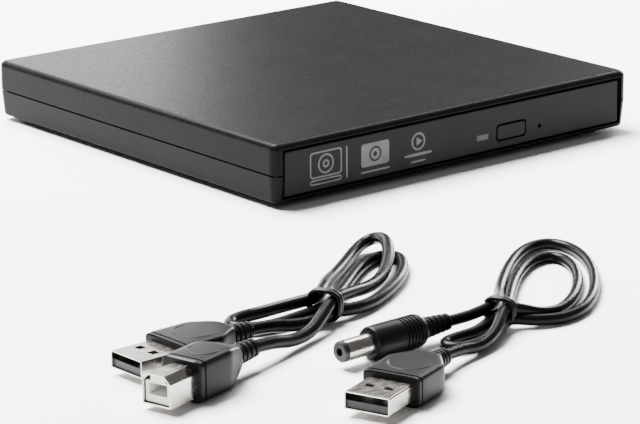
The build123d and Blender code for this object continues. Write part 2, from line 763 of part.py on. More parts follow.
# ------------------------------------------------------- button and latch
with BuildPart() as eject_button:
    with BuildSketch(Plane.XZ.offset(69.85)):
        with Locations((BTN_X, BTN_Z)):
            RectangleRounded(11.7, 4.6, 1.0)
    extrude(amount=1.75)
    fillet(eject_button.faces().sort_by(Axis.Y)[0].edges(), 0.3)
    with BuildSketch(Plane.XZ.offset(69.25)):
        with Locations((BTN_X, BTN_Z)):
            Rectangle(13.8, 6.7)
    extrude(amount=0.6)
    with BuildSketch(Plane.XZ.offset(67.1)):
        with Locations((BTN_X, BTN_Z)):
            Rectangle(2.0, 1.8)
    extrude(amount=2.2)
save(eject_button.part, "eject_button")

LATCH_REST = -22.0  # released; engaged at 0
la = math.radians(90 + LATCH_REST)
with BuildPart() as latch_lever:
    with BuildSketch(
        Plane(origin=(51.0, -58.0, 5.8), x_dir=(math.cos(la), math.sin(la), 0), z_dir=(0, 0, 1))
    ):
        Circle(2.2)
        with Locations((5.5, 0)):
            Rectangle(11.0, 2.0)
        with Locations((10.2, 2.3)):
            Rectangle(1.6, 4.6)
        Circle(1.05, mode=Mode.SUBTRACT)
    extrude(amount=1.6)
save(latch_lever.part, "latch_lever")

# ---------------------------------------------------------------- cables
DATA_R = 1.7  # data cord radius
POWER_R = 1.5  # power cord radius


def usb_a_plug(name, tip, angle):
    """Type A plug lying flat: shell, contact block and moulding."""
    c, n = math.cos(math.radians(angle)), math.sin(math.radians(angle))

    def flat(z):
        return Plane(origin=(tip[0], tip[1], z), x_dir=(c, n, 0), z_dir=(0, 0, 1))

    def across(x):
        return Plane(
            origin=(tip[0] + x * c, tip[1] + x * n, 3.9), x_dir=(-n, c, 0), z_dir=(c, n, 0)
        )

    with BuildPart() as shell:
        with BuildSketch(across(0)):
            RectangleRounded(12.0, 4.5, 0.5)
        extrude(amount=12.5)
        with BuildSketch(across(-0.1)):
            Rectangle(11.4, 3.9)
        extrude(amount=11.85, mode=Mode.SUBTRACT)
        with BuildSketch(flat(0.0)):
            with Locations((6.4, 2.6), (6.4, -2.6)):
                Rectangle(2.2, 2.3)
        extrude(amount=8.0, mode=Mode.SUBTRACT)
    save(shell.part, name + "_shell")

    with BuildPart() as block:
        with BuildSketch(flat(1.95)):
            with Locations((6.15, 0)):
                Rectangle(11.2, 11.3)
        extrude(amount=1.9)
    save(block.part, name + "_insulator")

    with BuildPart() as mould:
        with BuildSketch(flat(0)):
            with BuildLine():
                Polyline(
                    (11.75, -7.8), (23.5, -7.8), (31.0, -3.6), (31.0, 3.6), (23.5, 7.8), (11.75, 7.8),
                    close=True,
                )
            make_face()
        extrude(amount=7.8)
        chamfer(mould.faces().group_by(Axis.Z)[-1].edges(), 0.7)
        chamfer(mould.faces().group_by(Axis.Z)[0].edges(), 0.5)
        with BuildSketch(across(30.0)):
            Circle(3.1)
        extrude(amount=9.0, taper=3.0)
        for x in (32.3, 34.3, 36.3):
            with BuildSketch(across(x)):
                Circle(5.0)
                Circle(2.2, mode=Mode.SUBTRACT)
            extrude(amount=0.8, mode=Mode.SUBTRACT)
        with BuildSketch(across(11.0)):
            RectangleRounded(12.0, 4.5, 0.5)
        extrude(amount=1.5, mode=Mode.SUBTRACT)
    save(mould.part, name + "_mould")
    return (tip[0] + 39.0 * c, tip[1] + 39.0 * n, 3.9)


def usb_b_plug(name, tip, angle):
    """Type B plug: chamfered square shell, contact block and moulding."""
    c, n = math.cos(math.radians(angle)), math.sin(math.radians(angle))

    def flat(z):
        return Plane(origin=(tip[0], tip[1], z), x_dir=(c, n, 0), z_dir=(0, 0, 1))

    def across(x):
        return Plane(
            origin=(tip[0] + x * c, tip[1] + x * n, 5.3), x_dir=(-n, c, 0), z_dir=(c, n, 0)
        )

    def outline(k):
        return [
            (-4.22 + k, -3.89 + k), (4.22 - k, -3.89 + k), (4.22 - k, 2.0), (2.35, 3.89 - k),
            (-2.35, 3.89 - k), (-4.22 + k, 2.0),
        ]

    with BuildPart() as shell:
        with BuildSketch(across(0)):
            with BuildLine():
                Polyline(*outline(0), close=True)
            make_face()
        extrude(amount=10.5)
        with BuildSketch(across(-0.1)):
            with BuildLine():
                Polyline(*outline(0.35), close=True)
            make_face()
        extrude(amount=9.6, mode=Mode.SUBTRACT)
    save(shell.part, name + "_shell")

    with BuildPart() as block:
        with BuildSketch(across(0.7)):
            Rectangle(7.3, 3.8)
            with Locations((0, 1.1)):
                Rectangle(4.4, 4.6)
            with Locations((0, -1.9)):
                Rectangle(7.3, 2.8)
            Rectangle(5.4, 2.9, mode=Mode.SUBTRACT)
        extrude(amount=8.8)
    save(block.part, name + "_insulator")

    with BuildPart() as mould:
        with BuildSketch(flat(0)):
            with BuildLine():
                Polyline(
                    (9.5, -6.1), (22.0, -6.1), (29.0, -3.2), (29.0, 3.2), (22.0, 6.1), (9.5, 6.1),
                    close=True,
                )
            make_face()
        extrude(amount=10.6)
        chamfer(mould.faces().group_by(Axis.Z)[-1].edges(), 0.8)
        chamfer(mould.faces().group_by(Axis.Z)[0].edges(), 0.5)
        with BuildSketch(across(28.0)):
            Circle(3.1)
        extrude(amount=10.0, taper=3.0)
        for x in (30.6, 32.8, 35.0):
            with BuildSketch(across(x)):
                Circle(7.5)
                Circle(2.2, mode=Mode.SUBTRACT)
            extrude(amount=0.8, mode=Mode.SUBTRACT)
        with BuildSketch(across(9.0)):
            with BuildLine():
                Polyline(*outline(0), close=True)
            make_face()
        extrude(amount=1.5, mode=Mode.SUBTRACT)
    save(mould.part, name + "_mould")
    return (tip[0] + 38.0 * c, tip[1] + 38.0 * n, 5.3)


def dc_plug(name, tip, angle):
    """Barrel plug, 5.5 mm outside and 2.1 mm bore."""
    c, n = math.cos(math.radians(angle)), math.sin(math.radians(angle))

    def across(x):
        return Plane(
            origin=(tip[0] + x * c, tip[1] + x * n, 4.4), x_dir=(-n, c, 0), z_dir=(c, n, 0)
        )

    with BuildPart() as barrel:
        with BuildSketch(across(1.2)):
            Circle(2.75)
            Circle(2.4, mode=Mode.SUBTRACT)
        extrude(amount=9.3)
    save(barrel.part, name + "_barrel")

    with BuildPart() as core:
        with BuildSketch(across(0)):
            Circle(2.7)
        extrude(amount=1.2)
        chamfer(core.faces().sort_by(Axis.X)[0].edges(), 0.4)
        with BuildSketch(across(1.2)):
            Circle(2.4)
        extrude(amount=9.3)
        with BuildSketch(across(-0.1)):
            Circle(1.05)
        extrude(amount=9.1, mode=Mode.SUBTRACT)
    save(core.part, name + "_insulator")

    with BuildPart() as mould:
        with BuildSketch(across(9.5)):
            Circle(4.4)
        extrude(amount=17.0)
        chamfer(mould.faces().sort_by(Axis.X)[0].edges(), 0.6)
        chamfer(mould.faces().sort_by(Axis.X)[-1].edges(), 1.0)
        with BuildSketch(across(26.0)):
            Circle(3.1)
        extrude(amount=10.0, taper=3.4)
        for x in (19.5, 21.2, 22.9):
            with BuildSketch(across(x)):
                Circle(6.0)
                Circle(3.95, mode=Mode.SUBTRACT)
            extrude(amount=0.8, mode=Mode.SUBTRACT)
        for x in (28.4, 30.6, 32.8):
            with BuildSketch(across(x)):
                Circle(6.0)
                Circle(2.1, mode=Mode.SUBTRACT)
            extrude(amount=0.8, mode=Mode.SUBTRACT)
        with BuildSketch(across(9.4)):
            Circle(2.75)
        extrude(amount=1.1, mode=Mode.SUBTRACT)
    save(mould.part, name + "_mould")
    return (tip[0] + 36.0 * c, tip[1] + 36.0 * n, 4.4)


def cord_tube(name, points, radius):
    """Straight runs joined by tangent arcs as large as the runs allow."""
    pts = [Vector(*p) for p in points]
    radii = []
    for a, b, d in zip(pts, pts[1:], pts[2:]):
        turn = math.radians((b - a).get_angle(d - b))
        radii.append(0.45 * min((b - a).length, (d - b).length) / math.tan(turn / 2))
    with BuildPart() as tube:
        with BuildLine() as path:
            FilletPolyline(*pts, radius=radii)
        with BuildSketch(Plane(origin=path.line @ 0, z_dir=path.line % 0)):
            Circle(radius)
        sweep()
    length = sum(edge.length for edge in path.line.edges())
    print(
        name, "radii", [round(r, 1) for r in radii], "length", round(length, 1),
        "volume", round(tube.part.volume, 1), "of", round(length * math.pi * radius**2, 1),
    )
    save(tube.part, name)


data_a_end = usb_a_plug("data_plug_a", (-191.0, -162.5), 2.0)
data_b_end = usb_b_plug("data_plug_b", (-199.0, -185.5), 15.0)
power_dc_end = dc_plug("power_plug", (-147.0, -190.2), 1.0)
power_a_end = usb_a_plug("power_usb", (-165.0, -221.5), 20.6)
print("cord ends", data_a_end, data_b_end, power_dc_end, power_a_end)

DATA_TIE = (-126.0, -159.3)
POWER_TIE = (-94.8, -191.6)

cord_tube(
    "data_cord_a",
    [data_a_end, (-145.0, -160.8, 3.5), (-138.5, -161.4, 2.3), (-132.0, -161.0, 1.9), (-126.0, -159.6, 3.0)],
    DATA_R,
)
cord_tube(
    "data_cord_b",
    [data_b_end, (-155.0, -173.9, 4.6), (-147.2, -172.0, 2.7), (-139.0, -169.5, 1.8),
     (-130.6, -164.9, 2.3), (-125.6, -159.9, 3.0)],
    DATA_R,
)
cord_tube(
    "power_cord_dc",
    [power_dc_end, (-105.6, -189.6, 4.1), (-100.2, -191.0, 3.4), (-95.0, -191.6, 3.0)],
    POWER_R,
)
cord_tube(
    "power_cord_a",
    [power_a_end, (-121.6, -205.3, 3.3), (-113.8, -204.4, 1.9), (-106.2, -201.4, 1.6),
     (-99.6, -196.6, 2.2), (-94.9, -191.9, 3.0)],
    POWER_R,
)

with BuildPart() as data_hank:
    # folded loops on the right of the tie
    with BuildSketch(Plane.XY):
        with BuildLine():
            Polyline(
                (-127, -156), (-116, -145), (-93, -127.8), (-81, -119.2), (-76.2, -119.4),
                (-74.6, -123.5), (-74.8, -131), (-77.0, -138.0), (-82.5, -145.5), (-94, -154.5),
                (-110, -162.6), (-124, -165),
                close=True,
            )
        make_face()
    extrude(amount=6.8)
    # bight on the left
    with BuildSketch(Plane.XY):
        with BuildLine():
            Polyline(
                (-124, -152), (-134, -148.6), (-143, -145.6), (-149.3, -146.6), (-151, -151),
                (-148.5, -155.4), (-142, -158.0), (-132, -158.8), (-124, -160),
                close=True,
            )
        make_face()
    extrude(amount=6.8)
save(data_hank.part, "data_hank")

with BuildPart() as power_hank:
    # loops lie one cord thick where they reach in front of the drive
    with BuildSketch(Plane.XY):
        with BuildLine():
            Polyline(
                (-95, -187.5), (-81, -173.6), (-61, -156.8), (-46, -147.8), (-37, -146.8),
                (-33, -151), (-34.5, -162), (-46, -178), (-62, -193.6), (-77, -202.2),
                (-88, -202.0), (-96, -195.5),
                close=True,
            )
        make_face()
    extrude(amount=3.0)
    with BuildSketch(Plane.XY):
        with BuildLine():
            Polyline((-98, -188), (-90, -182.5), (-80, -178), (-78, -186), (-80, -198), (-88, -201), (-98, -196), close=True)
        make_face()
    extrude(amount=6.0)
    with BuildSketch(Plane.XY):
        with BuildLine():
            Polyline(
                (-94, -188.5), (-103, -193.4), (-113, -194.2), (-118.6, -196.4), (-119.2, -200.0),
                (-114, -201.8), (-106, -198.4), (-94, -196.5),
                close=True,
            )
        make_face()
    extrude(amount=3.2)
save(power_hank.part, "power_hank")


def cord_tie(name, centre, angle, wide, high):
    c, n = math.cos(math.radians(angle)), math.sin(math.radians(angle))
    with BuildPart() as tie:
        with BuildSketch(
            Plane(
                origin=(centre[0] - 1.1 * c, centre[1] - 1.1 * n, high),
                x_dir=(-n, c, 0),
                z_dir=(c, n, 0),
            )
        ):
            Ellipse(wide, high)
            Ellipse(wide - 1.0, high - 1.0, mode=Mode.SUBTRACT)
        extrude(amount=2.2)
    save(tie.part, name)


cord_tie("data_tie", DATA_TIE, 28.0, 6.2, 4.5)
cord_tie("power_tie", POWER_TIE, 22.0, 5.6, 4.1)
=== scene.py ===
import json
import math
import random

import bmesh
import bpy
from mathutils import Matrix, Vector


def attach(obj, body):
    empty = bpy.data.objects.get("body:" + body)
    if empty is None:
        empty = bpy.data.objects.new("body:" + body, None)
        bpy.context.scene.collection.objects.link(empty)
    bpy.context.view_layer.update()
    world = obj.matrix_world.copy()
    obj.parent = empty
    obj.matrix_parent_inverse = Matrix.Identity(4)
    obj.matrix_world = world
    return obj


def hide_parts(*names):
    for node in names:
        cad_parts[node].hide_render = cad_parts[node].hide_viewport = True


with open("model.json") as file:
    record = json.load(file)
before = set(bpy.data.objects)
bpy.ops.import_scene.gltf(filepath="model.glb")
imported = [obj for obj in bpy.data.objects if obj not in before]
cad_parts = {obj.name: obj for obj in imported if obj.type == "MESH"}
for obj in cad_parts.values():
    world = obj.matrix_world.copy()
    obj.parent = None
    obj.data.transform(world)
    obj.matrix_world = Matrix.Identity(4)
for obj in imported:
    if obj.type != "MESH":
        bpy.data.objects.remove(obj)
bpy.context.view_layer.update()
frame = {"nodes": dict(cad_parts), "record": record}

NODES = frame["nodes"]
MM = 0.001
random.seed(7)


# ------------------------------------------------------------------ camera
def make_camera():
    cam = bpy.data.cameras.new("camera")
    cam.lens = 164.6
    cam.sensor_width = 36.0
    cam.clip_start = 0.01
    cam.clip_end = 50.0
    cam.dof.use_dof = False
    o = bpy.data.objects.new("camera", cam)
    bpy.context.scene.collection.objects.link(o)
    right = Vector((0.77149, -0.63624, 0.0))
    up = Vector((0.17736, 0.21506, 0.96036))
    back = Vector((-0.61102, -0.74091, 0.27876))
    roll = math.radians(-0.357)
    x = right * math.cos(roll) + up * math.sin(roll)
    y = -right * math.sin(roll) + up * math.cos(roll)
    m = Matrix((x, y, back)).transposed().to_4x4()
    m.translation = Vector((-0.58029, -0.70848, 0.23614))
    o.matrix_world = m
    bpy.context.scene.camera = o


make_camera()


# --------------------------------------------------------------- materials
def new_material(name):
    m = bpy.data.materials.new(name)
    m.use_nodes = True
    nt = m.node_tree
    b = nt.nodes["Principled BSDF"]
    tc = nt.nodes.new("ShaderNodeTexCoord")
    return m, nt, b, tc


def noise(nt, tc, scale, detail=3.0, rough=0.5, distortion=0.0):
    n = nt.nodes.new("ShaderNodeTexNoise")
    n.inputs["Scale"].default_value = scale
    n.inputs["Detail"].default_value = detail
    n.inputs["Roughness"].default_value = rough
    n.inputs["Distortion"].default_value = distortion
    nt.links.new(tc.outputs["Object"], n.inputs["Vector"])
    return n


def remap(nt, sock, lo, hi, a=0.3, b=0.7):
    r = nt.nodes.new("ShaderNodeMapRange")
    r.inputs["From Min"].default_value = a
    r.inputs["From Max"].default_value = b
    r.inputs["To Min"].default_value = lo
    r.inputs["To Max"].default_value = hi
    nt.links.new(sock, r.inputs["Value"])
    return r.outputs["Result"]


def ramp(nt, sock, c0, c1, p0=0.3, p1=0.7):
    r = nt.nodes.new("ShaderNodeValToRGB")
    r.color_ramp.elements[0].position = p0
    r.color_ramp.elements[1].position = p1
    r.color_ramp.elements[0].color = (*c0, 1)
    r.color_ramp.elements[1].color = (*c1, 1)
    nt.links.new(sock, r.inputs["Fac"])
    return r.outputs["Color"]


def bump(nt, b, height, strength, distance, after=None):
    n = nt.nodes.new("ShaderNodeBump")
    n.inputs["Strength"].default_value = strength
    n.inputs["Distance"].default_value = distance
    nt.links.new(height, n.inputs["Height"])
    if after is not None:
        nt.links.new(after.outputs["Normal"], n.inputs["Normal"])
    nt.links.new(n.outputs["Normal"], b.inputs["Normal"])
    return n


def plastic(name, dark, light, rough=(0.40, 0.50), grain=1500.0, strength=0.35, distance=0.00005,
            specular=0.5, mottling=60.0, fine=True):
    """Moulded plastic with an eroded grain, faint colour mottling and uneven gloss."""
    m, nt, b, tc = new_material(name)
    big = noise(nt, tc, mottling, 4.0)
    grains = noise(nt, tc, grain, 2.0, 0.55)
    mix = nt.nodes.new("ShaderNodeMix")
    mix.data_type = "FLOAT"
    mix.inputs[0].default_value = 0.45
    nt.links.new(big.outputs["Fac"], mix.inputs[2])
    nt.links.new(grains.outputs["Fac"], mix.inputs[3])
    nt.links.new(ramp(nt, mix.outputs[0], dark, light, 0.35, 0.65), b.inputs["Base Color"])
    nt.links.new(remap(nt, grains.outputs["Fac"], rough[0], rough[1]), b.inputs["Roughness"])
    b.inputs["Specular IOR Level"].default_value = specular
    n1 = bump(nt, b, grains.outputs["Fac"], strength, distance)
    if fine:
        f = noise(nt, tc, grain * 3.1, 2.0)
        bump(nt, b, f.outputs["Fac"], strength * 0.5, distance * 0.4, after=n1)
    return m


def metal(name, c0, c1, rough=(0.2, 0.35), streak=(900.0, 900.0, 900.0), strength=0.15,
          distance=0.00002, blotch=120.0):
    """Plated or rolled metal: fine drawn streaks, blotches and uneven polish."""
    m, nt, b, tc = new_material(name)
    mp = nt.nodes.new("ShaderNodeMapping")
    mp.inputs["Scale"].default_value = streak
    nt.links.new(tc.outputs["Object"], mp.inputs["Vector"])
    s = nt.nodes.new("ShaderNodeTexNoise")
    s.inputs["Scale"].default_value = 1.0
    s.inputs["Detail"].default_value = 3.0
    nt.links.new(mp.outputs["Vector"], s.inputs["Vector"])
    g = noise(nt, tc, blotch, 3.0)
    nt.links.new(ramp(nt, g.outputs["Fac"], c0, c1), b.inputs["Base Color"])
    nt.links.new(remap(nt, s.outputs["Fac"], rough[0], rough[1]), b.inputs["Roughness"])
    b.inputs["Metallic"].default_value = 1.0
    bump(nt, b, s.outputs["Fac"], strength, distance)
    return m


def board(name):
    """Circuit board: solder resist over faint copper tracks."""
    m, nt, b, tc = new_material(name)
    v = nt.nodes.new("ShaderNodeTexVoronoi")
    v.feature = "DISTANCE_TO_EDGE"
    v.inputs["Scale"].default_value = 260.0
    v.inputs["Randomness"].default_value = 0.25
    nt.links.new(tc.outputs["Object"], v.inputs["Vector"])
    nt.links.new(ramp(nt, v.outputs["Distance"], (0.02, 0.20, 0.09), (0.008, 0.075, 0.035), 0.03, 0.09),
                 b.inputs["Base Color"])
    g = noise(nt, tc, 700.0, 2.0)
    nt.links.new(remap(nt, g.outputs["Fac"], 0.25, 0.4), b.inputs["Roughness"])
    bump(nt, b, v.outputs["Distance"], 0.2, 0.00003)
    return m


M_TOP = plastic("housing_plastic", (0.0024, 0.0024, 0.0024), (0.0042, 0.0042, 0.0042),
                rough=(0.31, 0.41), grain=1150.0, strength=0.60, distance=0.00009, specular=0.038)
M_BEZEL = plastic("bezel_plastic", (0.0036, 0.0036, 0.0037), (0.0052, 0.0052, 0.0053),
                  rough=(0.38, 0.50), grain=2600.0, strength=0.25, distance=0.00004, specular=0.065)
M_TRAY = plastic("tray_plastic", (0.008, 0.008, 0.0082), (0.013, 0.013, 0.0132),
                 rough=(0.38, 0.50), grain=2200.0, strength=0.3, distance=0.00005, specular=0.25)
M_RUBBER = plastic("foot_rubber", (0.008, 0.008, 0.008), (0.014, 0.014, 0.0135),
                   rough=(0.72, 0.85), grain=1600.0, strength=0.4, distance=0.00008, specular=0.25)
M_DAMPER = plastic("damper_rubber", (0.05, 0.05, 0.055), (0.08, 0.08, 0.085),
                   rough=(0.6, 0.75), grain=1600.0, strength=0.3, distance=0.00005, specular=0.3)
M_CHIP = plastic("chip_black", (0.007, 0.007, 0.0075), (0.013, 0.013, 0.0135),
                 rough=(0.5, 0.65), grain=2400.0, strength=0.3, distance=0.00003, specular=0.25)
M_BLACK = plastic("insulator_black", (0.0045, 0.0045, 0.0045), (0.0080, 0.0080, 0.0080),
                  rough=(0.30, 0.45), grain=1800.0, strength=0.2, distance=0.00003, specular=0.30)
M_WHITE = plastic("insulator_white", (0.62, 0.61, 0.58), (0.74, 0.73, 0.70),
                  rough=(0.38, 0.5), grain=1500.0, strength=0.15, distance=0.00003)
M_CORD = plastic("cord_pvc", (0.0020, 0.0020, 0.0020), (0.0038, 0.0038, 0.0038),
                 rough=(0.26, 0.32), grain=420.0, strength=0.06, distance=0.00002, specular=0.065,
                 mottling=140.0, fine=False)
M_MOULD = plastic("mould_pvc", (0.0028, 0.0028, 0.0028), (0.0050, 0.0050, 0.0050),
                  rough=(0.32, 0.44), grain=1700.0, strength=0.35, distance=0.00005, specular=0.09,
                  mottling=150.0)
M_TIE = plastic("tie_plastic", (0.0020, 0.0020, 0.0020), (0.0038, 0.0038, 0.0038),
                rough=(0.26, 0.33), grain=600.0, strength=0.08, distance=0.00002, specular=0.12, fine=False)
M_PRINT = plastic("print_grey", (0.060, 0.060, 0.0605), (0.086, 0.086, 0.087),
                  rough=(0.5, 0.62), grain=3000.0, strength=0.2, distance=0.00002, specular=0.2,
                  mottling=400.0)
M_SCREW = metal("screw_steel", (0.16, 0.16, 0.165), (0.24, 0.24, 0.245), (0.3, 0.45))
M_ZINC = metal("zinc_sheet", (0.30, 0.31, 0.33), (0.44, 0.45, 0.47), (0.28, 0.48),
               streak=(160.0, 2600.0, 900.0), strength=0.2, blotch=45.0)
M_NICKEL = metal("nickel", (0.46, 0.43, 0.39), (0.60, 0.57, 0.53), (0.14, 0.28),
                 streak=(420.0, 2200.0, 900.0), strength=0.10, blotch=90.0)
M_ALLOY = metal("sled_alloy", (0.40, 0.41, 0.43), (0.55, 0.56, 0.58), (0.35, 0.55),
                streak=(1500.0, 1500.0, 1500.0), strength=0.4, distance=0.00005)
M_BOARD = board("board_green")


def flex_material():
    m, nt, b, tc = new_material("flex_amber")
    w = nt.nodes.new("ShaderNodeTexWave")
    w.inputs["Scale"].default_value = 320.0
    w.inputs["Distortion"].default_value = 0.0
    nt.links.new(tc.outputs["Object"], w.inputs["Vector"])
    nt.links.new(ramp(nt, w.outputs["Fac"], (0.42, 0.20, 0.03), (0.62, 0.36, 0.08)), b.inputs["Base Color"])
    g = noise(nt, tc, 300.0)
    nt.links.new(remap(nt, g.outputs["Fac"], 0.2, 0.35), b.inputs["Roughness"])
    return m


def window_material():
    m, nt, b, tc = new_material("light_guide")
    g = noise(nt, tc, 900.0)
    nt.links.new(ramp(nt, g.outputs["Fac"], (0.024, 0.024, 0.0237), (0.040, 0.040, 0.0394)), b.inputs["Base Color"])
    nt.links.new(remap(nt, g.outputs["Fac"], 0.3, 0.45), b.inputs["Roughness"])
    b.inputs["Specular IOR Level"].default_value = 0.15
    bump(nt, b, g.outputs["Fac"], 0.2, 0.00003)
    return m


def lens_material():
    m, nt, b, tc = new_material("lens_glass")
    lw = nt.nodes.new("ShaderNodeLayerWeight")
    lw.inputs["Blend"].default_value = 0.4
    nt.links.new(ramp(nt, lw.outputs["Facing"], (0.10, 0.22, 0.62), (0.45, 0.25, 0.55), 0.1, 0.8),
                 b.inputs["Base Color"])
    g = noise(nt, tc, 600.0)
    nt.links.new(remap(nt, g.outputs["Fac"], 0.02, 0.06), b.inputs["Roughness"])
    b.inputs["Transmission Weight"].default_value = 0.55
    b.inputs["IOR"].default_value = 1.52
    b.inputs["Coat Weight"].default_value = 0.6
    return m


M_FLEX = flex_material()
M_WINDOW = window_material()
M_LENS = lens_material()

PAINT = {
    "housing_plastic": M_TOP, "bezel_plastic": M_BEZEL, "tray_plastic": M_TRAY,
    "foot_rubber": M_RUBBER, "screw_steel": M_SCREW, "zinc_sheet": M_ZINC,
    "board_green": M_BOARD, "chip_black": M_CHIP, "nickel": M_NICKEL,
    "insulator_black": M_BLACK, "insulator_white": M_WHITE, "flex_amber": M_FLEX,
    "light_guide": M_WINDOW, "damper_rubber": M_DAMPER, "lens_glass": M_LENS,
    "sled_alloy": M_ALLOY, "cord_pvc": M_CORD, "mould_pvc": M_MOULD, "tie_plastic": M_TIE,
}
for sub in frame["record"]["subparts"]:
    o = NODES[sub["node"]]
    o.data.materials.clear()
    o.data.materials.append(PAINT[sub["material_slot"]])


# ------------------------------------------------------------------- cords
def cord_curve(name, points_mm, radius_mm):
    cu = bpy.data.curves.new(name, "CURVE")
    cu.dimensions = "3D"
    sp = cu.splines.new("NURBS")
    sp.points.add(len(points_mm) - 1)
    for p, q in zip(sp.points, points_mm):
        p.co = (q[0] * MM, q[1] * MM, q[2] * MM, 1.0)
    sp.order_u = 3
    sp.use_endpoint_u = True
    sp.resolution_u = 12
    cu.bevel_depth = radius_mm * MM
    cu.bevel_resolution = 8
    cu.use_fill_caps = True
    o = bpy.data.objects.new(name, cu)
    bpy.context.scene.collection.objects.link(o)
    return o


def spline_length(o):
    """Length of the curve's own line, read from the curve without its bevel."""
    depth = o.data.bevel_depth
    o.data.bevel_depth = 0.0
    bpy.context.view_layer.update()
    me = bpy.data.meshes.new_from_object(o.evaluated_get(bpy.context.evaluated_depsgraph_get()))
    o.data.bevel_depth = depth
    total = sum((me.vertices[e.vertices[0]].co - me.vertices[e.vertices[1]].co).length for e in me.edges)
    bpy.data.meshes.remove(me)
    bpy.context.view_layer.update()
    return total


DATA_ROUTE = [
    # out of the type A plug to the tie
    (-152.02, -161.14, 3.9), (-145.0, -160.8, 3.5), (-138.5, -161.8, 2.2), (-131.5, -162.2, 2.0),
    (-125.2, -160.9, 2.8),
    # lower loop
    (-117.5, -161.4, 2.3), (-110.0, -159.3, 1.7), (-102.0, -155.4, 1.7), (-93.2, -149.9, 1.7),
    (-86.0, -143.9, 1.7), (-80.9, -138.0, 1.7), (-78.4, -133.4, 1.7), (-80.0, -129.8, 1.7),
    (-85.2, -129.8, 1.7), (-92.0, -133.4, 1.7), (-100.0, -139.0, 1.7), (-108.4, -145.6, 1.7),
    (-117.2, -152.0, 2.1), (-126.8, -157.8, 2.8),
    # bight left of the tie
    (-134.0, -157.3, 2.1), (-141.0, -157.2, 1.7), (-147.0, -155.9, 1.7), (-150.2, -152.3, 1.7),
    (-148.6, -148.2, 1.7), (-144.0, -146.6, 1.8), (-138.6, -148.0, 2.2), (-132.6, -151.9, 4.0),
    (-126.8, -157.4, 6.2),
    # upper loop
    (-119.2, -150.6, 5.6), (-111.8, -143.0, 4.0), (-103.4, -135.9, 2.2), (-94.2, -129.0, 1.7),
    (-86.0, -122.9, 1.8), (-80.2, -119.8, 2.6), (-76.8, -120.8, 4.0), (-77.2, -125.6, 5.2),
    (-80.8, -131.8, 5.4), (-86.2, -138.4, 4.2), (-94.8, -145.8, 2.5), (-104.6, -151.8, 3.0),
    (-114.8, -156.4, 4.8), (-125.0, -161.0, 6.2),
    # out to the type B plug
    (-131.4, -165.2, 4.6), (-138.8, -169.3, 2.4), (-147.2, -172.0, 2.6), (-155.0, -173.8, 4.6),
    (-162.29, -175.66, 5.3),
]
POWER_ROUTE = [
    # out of the barrel plug to the tie
    (-111.01, -189.57, 4.4), (-105.6, -189.5, 4.2), (-100.2, -189.8, 4.8), (-95.5, -189.9, 5.6),
    # outer loop
    (-90.0, -185.6, 4.8), (-83.6, -179.0, 2.8), (-76.6, -171.9, 1.5), (-68.0, -164.3, 1.5),
    (-59.2, -157.4, 1.5), (-50.4, -151.5, 1.5), (-42.6, -148.7, 1.5), (-37.0, -150.3, 1.5),
    (-35.9, -156.6, 1.5), (-39.2, -165.6, 1.5), (-45.8, -175.6, 1.5), (-54.2, -185.0, 1.5),
    (-63.2, -192.9, 1.5), (-72.2, -198.6, 1.5), (-80.8, -200.4, 1.5), (-88.0, -198.2, 1.9),
    (-94.3, -193.3, 2.6),
    # bight left of the tie
    (-101.0, -196.7, 1.9), (-107.6, -199.9, 1.5), (-113.0, -201.2, 1.5), (-117.3, -200.4, 1.5),
    (-118.6, -197.6, 1.5), (-116.8, -194.9, 1.5), (-112.0, -194.0, 1.5), (-106.0, -194.0, 1.5),
    (-100.6, -192.6, 2.0), (-95.5, -190.0, 2.6),
    # inner loop
    (-90.2, -188.0, 1.9), (-84.4, -183.4, 1.5), (-77.4, -176.8, 1.5), (-69.6, -169.9, 1.5),
    (-61.4, -163.7, 1.5), (-53.6, -159.3, 1.5), (-47.0, -158.5, 1.5), (-44.6, -162.2, 1.5),
    (-46.9, -168.8, 1.5), (-52.8, -177.0, 1.5), (-60.8, -184.9, 1.5), (-69.2, -191.2, 1.5),
    (-77.2, -195.0, 1.5), (-84.6, -196.0, 2.6), (-90.2, -195.0, 4.6), (-94.4, -193.2, 5.6),
    # out to the type A plug
    (-99.4, -196.8, 5.0), (-105.4, -201.2, 3.1), (-113.2, -204.2, 1.9), (-121.6, -205.3, 3.3),
    (-128.49, -207.78, 3.9),
]

data_cord = cord_curve("data_cord", DATA_ROUTE, 1.7)
data_cord.data.materials.append(M_CORD)
power_cord = cord_curve("power_cord", POWER_ROUTE, 1.5)
power_cord.data.materials.append(M_CORD)
DATA_LENGTH = spline_length(data_cord)
POWER_LENGTH = spline_length(power_cord)
print("cord lengths", round(DATA_LENGTH, 4), round(POWER_LENGTH, 4))


# ------------------------------------------------------------- mesh helpers
def mesh_object(name, bm, material, smooth=True):
    me = bpy.data.meshes.new(name)
    bmesh.ops.recalc_face_normals(bm, faces=bm.faces)
    bm.to_mesh(me)
    bm.free()
    for p in me.polygons:
        p.use_smooth = smooth
    me.materials.append(material)
    o = bpy.data.objects.new(name, me)
    bpy.context.scene.collection.objects.link(o)
    return o


def superellipse(w, h, p, k=48):
    out = []
    for i in range(k):
        t = 2 * math.pi * i / k
        c, s = math.cos(t), math.sin(t)
        out.append((math.copysign(abs(c) ** (2.0 / p), c) * w, math.copysign(abs(s) ** (2.0 / p), s) * h))
    return out


def placed(tip, angle, z):
    """Plug frame: x along the plug from its tip, y across, z up, in millimetres."""
    c, s = math.cos(math.radians(angle)), math.sin(math.radians(angle))

    def f(x, y, dz):
        return Vector(((tip[0] + x * c - y * s) * MM, (tip[1] + x * s + y * c) * MM, (z + dz) * MM))

    return f


